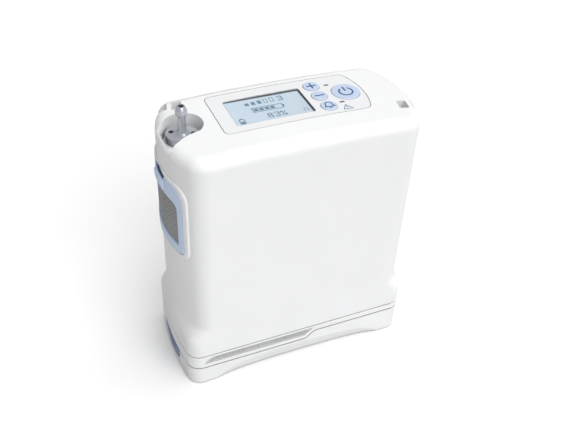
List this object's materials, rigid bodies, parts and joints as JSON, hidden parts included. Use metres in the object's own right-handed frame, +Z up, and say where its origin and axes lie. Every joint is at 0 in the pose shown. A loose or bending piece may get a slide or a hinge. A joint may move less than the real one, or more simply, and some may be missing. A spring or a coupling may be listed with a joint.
{
  "type": "portable oxygen concentrator",
  "caption": "Handheld medical oxygen concentrator: slim rounded white case, top display panel with keys, barbed outlet nozzle, side intake filter and slide-off base battery.",
  "frame": {"origin": "centre of the footprint on the flat underside of the battery", "axes": "+X along the long side towards the end the battery slides out of, +Y to the back, +Z up; the front face with the exhaust slot looks along -Y"},
  "size_m": [0.151, 0.068, 0.1768],
  "materials": {
    "casing_white": "satin",
    "panel_white": "satin",
    "key_blue": "satin",
    "lcd_clear": "polished",
    "lcd_face": "satin",
    "led_clear": "polished",
    "frame_blue": "satin",
    "latch_blue": "satin",
    "mesh_grey": "matte",
    "nozzle_grey": "satin",
    "vent_grey": "matte",
    "black_plastic": "matte",
    "board_green": "satin",
    "steel": "brushed",
    "aluminium": "satin",
    "copper": "satin",
    "rubber_black": "matte",
    "silicone": "satin",
    "cell_wrap": "satin",
    "sieve_beige": "matte",
    "label_silver": "satin",
    "gold": "polished",
    "felt_white": "matte"
  },
  "bodies": {
    "device": {"main_casing": "casing_white", "rating_label": "label_silver", "control_panel": "panel_white", "lcd_window": "lcd_clear", "lcd_module": "lcd_face", "indicator_leds": "led_clear", "display_board": "board_green", "key_switches": "steel", "buzzer": "black_plastic", "outlet_nozzle": "nozzle_grey", "outlet_filter": "felt_white", "nozzle_nut": "steel", "cooling_fan_frame": "black_plastic", "base_housing": "casing_white", "exhaust_grille": "vent_grey", "battery_connector": "gold", "power_jack": "black_plastic", "service_port": "steel", "base_screws": "steel", "column_tubes": "aluminium", "sieve_beds": "sieve_beige", "column_base": "black_plastic", "column_head": "black_plastic", "column_springs": "steel", "column_pull_strip": "steel", "crankcase": "aluminium", "crank_bearings": "steel", "cylinders": "aluminium", "cylinder_heads": "aluminium", "motor_stator": "steel", "motor_coils": "copper", "rubber_mounts": "rubber_black", "inner_chassis": "black_plastic", "valve_manifold": "black_plastic", "solenoid_valves": "steel", "product_tank": "vent_grey", "intake_muffler": "black_plastic", "oxygen_sensor": "vent_grey", "product_tube": "silicone", "air_tubes": "silicone", "main_board": "board_green", "board_components": "black_plastic"},
    "intake_filter": {"filter_frame": "frame_blue", "filter_mesh": "mesh_grey"},
    "battery": {"battery_case": "casing_white", "battery_cover": "casing_white", "battery_cells": "cell_wrap", "battery_board": "board_green", "battery_clips": "gold", "latch_spring": "steel"},
    "latch": {"battery_latch": "latch_blue"},
    "fan": {"cooling_fan_rotor": "black_plastic"},
    "crank": {"compressor_rotor": "steel", "counterweight": "steel"},
    "left_piston": {"piston_left": "aluminium"},
    "right_piston": {"piston_right": "aluminium"},
    "power_button": {"button_power": "key_blue"},
    "plus_button": {"button_plus": "key_blue"},
    "minus_button": {"button_minus": "key_blue"},
    "alert_button": {"button_alert": "key_blue"}
  },
  "joints": [
    {"name": "filter_pull", "type": "slide", "parent": "device", "child": "intake_filter", "axis": [-1, 0, 0], "range_m": [0, 0.025]},
    {"name": "battery_slide", "type": "slide", "parent": "device", "child": "battery", "axis": [1, 0, 0], "range_m": [0, 0.16]},
    {"name": "latch_press", "type": "slide", "parent": "battery", "child": "latch", "axis": [0, 0, -1], "range_m": [0, 0.0018], "stiffness_N_per_m": 900, "springref_m": -0.001, "deforming": ["latch_spring"]},
    {"name": "fan_spin", "type": "hinge", "parent": "device", "child": "fan", "pos_m": [-0.06, 0, 0.118], "axis": [1, 0, 0], "continuous": true},
    {"name": "crank_spin", "type": "hinge", "parent": "device", "child": "crank", "pos_m": [-0.014, 0, 0.05], "axis": [0, 1, 0], "continuous": true},
    {"name": "left_piston_slide", "type": "slide", "parent": "device", "child": "left_piston", "axis": [1, 0, 0], "range_m": [-0.0035, 0.0035]},
    {"name": "right_piston_slide", "type": "slide", "parent": "device", "child": "right_piston", "axis": [1, 0, 0], "range_m": [-0.0035, 0.0035]},
    {"name": "power_press", "type": "slide", "parent": "device", "child": "power_button", "axis": [0, 0, -1], "range_m": [0, 0.0004], "stiffness_N_per_m": 1500, "springref_m": -0.0005},
    {"name": "plus_press", "type": "slide", "parent": "device", "child": "plus_button", "axis": [0, 0, -1], "range_m": [0, 0.0004], "stiffness_N_per_m": 1500, "springref_m": -0.0005},
    {"name": "minus_press", "type": "slide", "parent": "device", "child": "minus_button", "axis": [0, 0, -1], "range_m": [0, 0.0004], "stiffness_N_per_m": 1500, "springref_m": -0.0005},
    {"name": "alert_press", "type": "slide", "parent": "device", "child": "alert_button", "axis": [0, 0, -1], "range_m": [0, 0.0004], "stiffness_N_per_m": 1500, "springref_m": -0.0005}
  ]
}
